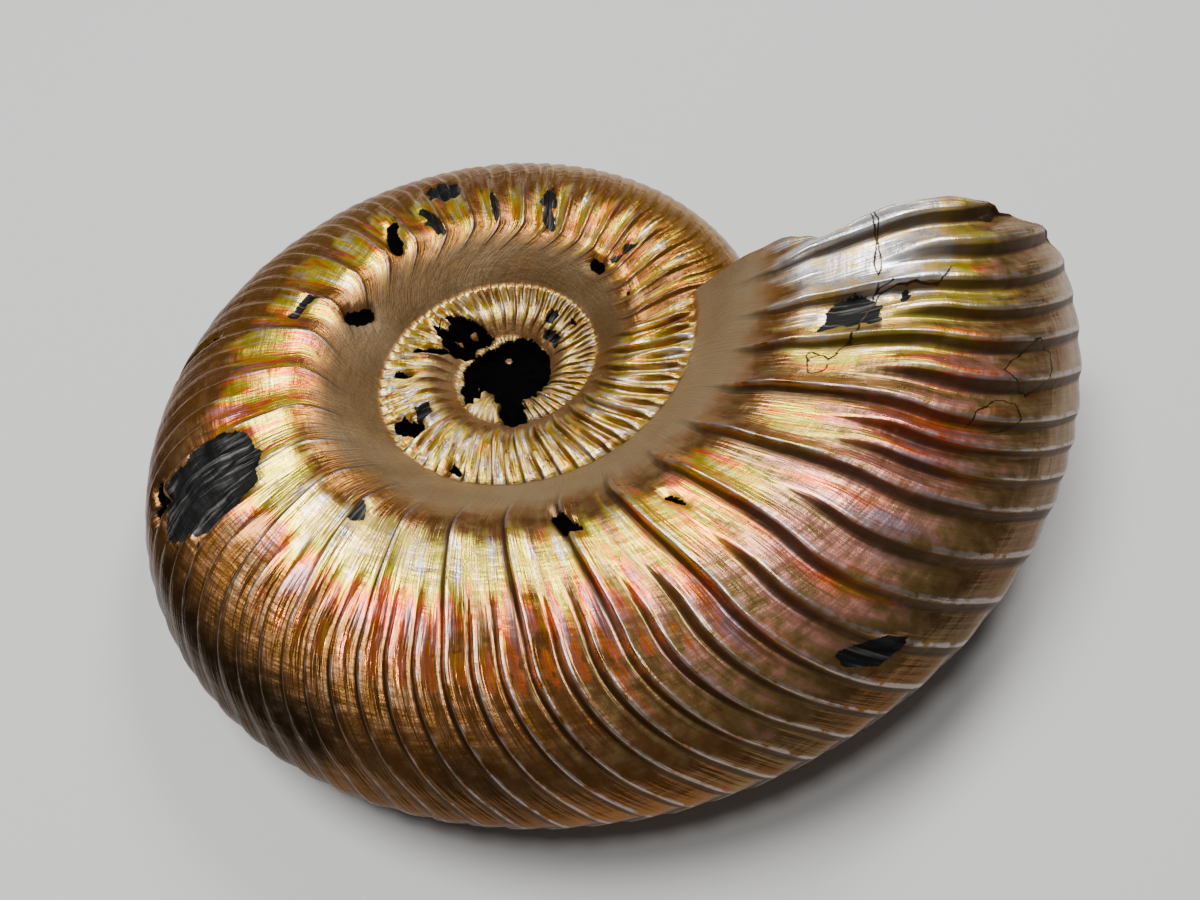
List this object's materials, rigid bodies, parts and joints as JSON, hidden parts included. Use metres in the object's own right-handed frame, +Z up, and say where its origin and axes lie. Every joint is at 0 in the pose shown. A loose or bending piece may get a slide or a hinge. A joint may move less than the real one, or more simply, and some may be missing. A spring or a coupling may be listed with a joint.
{
  "type": "pyritized ammonite fossil",
  "caption": "Coiled, ribbed fossil shell with an open umbilicus and a broken outer end, lying on its side.",
  "frame": {"origin": "middle of the object's box, on the surface that it lies on", "axes": "+Z up from the surface, +X to the right and +Y to the back as the picture sees it"},
  "size_m": [0.0486, 0.0402, 0.0137],
  "materials": {
    "nacre": "iridescent copper, gold and green shell with a metallic sheen"
  },
  "bodies": {
    "root": {"ammonite": "nacre"}
  },
  "joints": []
}
